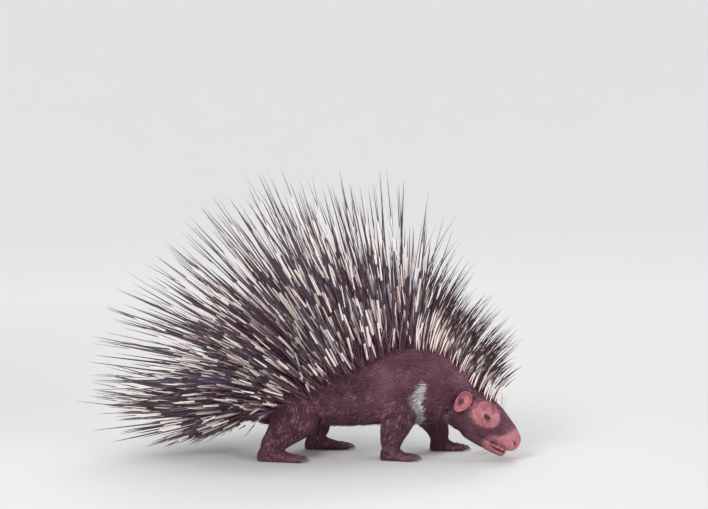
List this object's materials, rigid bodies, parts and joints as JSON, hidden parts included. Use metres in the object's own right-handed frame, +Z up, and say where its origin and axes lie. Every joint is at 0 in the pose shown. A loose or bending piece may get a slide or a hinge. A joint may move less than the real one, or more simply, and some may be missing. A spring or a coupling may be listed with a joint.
{
  "type": "crested porcupine",
  "caption": "Life-size still model of a crested porcupine walking with its head low and its banded quills and crest raised in a fan.",
  "frame": {"origin": "on the ground, under the middle of the whole model's box", "axes": "+X the way the animal faces, +Y its left side, +Z up"},
  "size_m": [1.0346, 0.6956, 0.6896],
  "materials": {
    "bristle_coat": "dark plum-brown coarse bristles with a dull sheen",
    "quill": "horny quills banded cream and blackish brown, satin",
    "bare_skin": "dusky pink, thinly haired skin of the ears, nose and lips",
    "eye": "nearly black, wet and glossy",
    "claw": "dark horn, satin",
    "tooth": "yellow-orange enamel of the incisors, glossy"
  },
  "bodies": {
    "root": {"head": "bristle_coat", "neck": "bristle_coat", "shoulders": "bristle_coat", "torso": "bristle_coat", "rump": "bristle_coat", "tail": "bristle_coat", "ear_left": "bare_skin", "ear_right": "bare_skin", "eye_left": "eye", "eye_right": "eye", "foreleg_left": "bristle_coat", "foreleg_right": "bristle_coat", "hindleg_left": "bristle_coat", "hindleg_right": "bristle_coat", "forefoot_left": "bristle_coat", "forefoot_right": "bristle_coat", "hindfoot_left": "bristle_coat", "hindfoot_right": "bristle_coat"}
  },
  "joints": []
}
